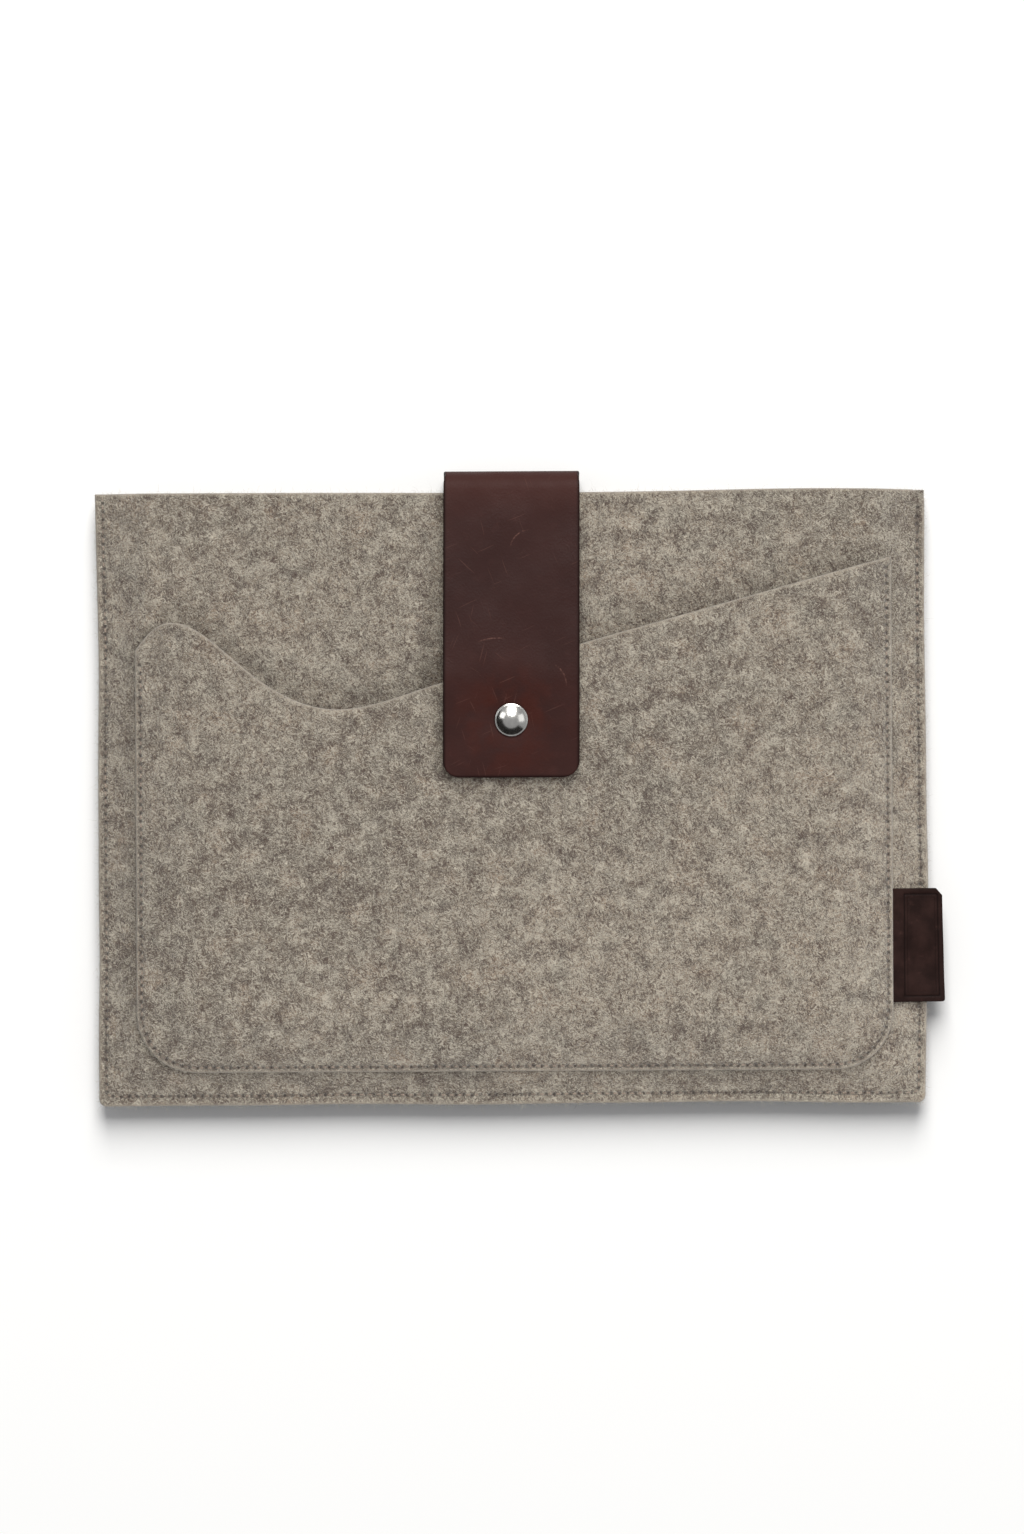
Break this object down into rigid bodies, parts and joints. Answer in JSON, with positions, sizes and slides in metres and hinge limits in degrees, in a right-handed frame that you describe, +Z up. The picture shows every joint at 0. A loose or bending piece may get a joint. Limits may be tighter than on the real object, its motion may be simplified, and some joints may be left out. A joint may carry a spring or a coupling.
{
  "type": "laptop sleeve",
  "caption": "Felt laptop sleeve with a wavy-edged patch pocket, a leather strap over the mouth closed by a domed snap, and a leather tab at the side.",
  "frame": {"origin": "middle of the back panel's outline, on the flat face that the sleeve rests on", "axes": "+X to the right across the front, +Y towards the mouth, +Z up through the thickness, from the back to the pocket side"},
  "size_m": [0.3575, 0.267, 0.0362],
  "materials": {
    "felt": "mottled beige and grey-brown wool felt",
    "thread": "brown waxed thread",
    "strap_leather": "waxy dark red-brown leather",
    "label_leather": "smooth dark brown leather",
    "snap_metal": "polished nickel plate"
  },
  "bodies": {
    "sleeve": {"back_panel": "felt", "front_panel": "felt", "front_pocket": "felt", "seam_thread_front": "thread", "seam_thread_back": "thread", "pocket_thread_front": "thread", "pocket_thread_inside": "thread", "strap_thread_back": "thread", "strap_thread_inside": "thread", "strap_tail": "strap_leather", "label_tuck": "label_leather", "snap_stud": "snap_metal", "snap_eyelet": "snap_metal"},
    "strap": {"strap_flap": "strap_leather", "snap_cap": "snap_metal", "snap_cap_post": "snap_metal", "snap_socket": "snap_metal", "snap_spring": "snap_metal"},
    "label": {"label_flap": "label_leather"}
  },
  "joints": [
    {"name": "strap_fold", "type": "hinge", "parent": "sleeve", "child": "strap", "pos_m": [0, 0.1405, 0.0115], "axis": [-1, 0, 0], "range_deg": [0, 170]},
    {"name": "label_bend", "type": "hinge", "parent": "sleeve", "child": "label", "pos_m": [0.162, -0.06255, 0.01834], "axis": [0, -1, 0], "range_deg": [0, 90]}
  ]
}
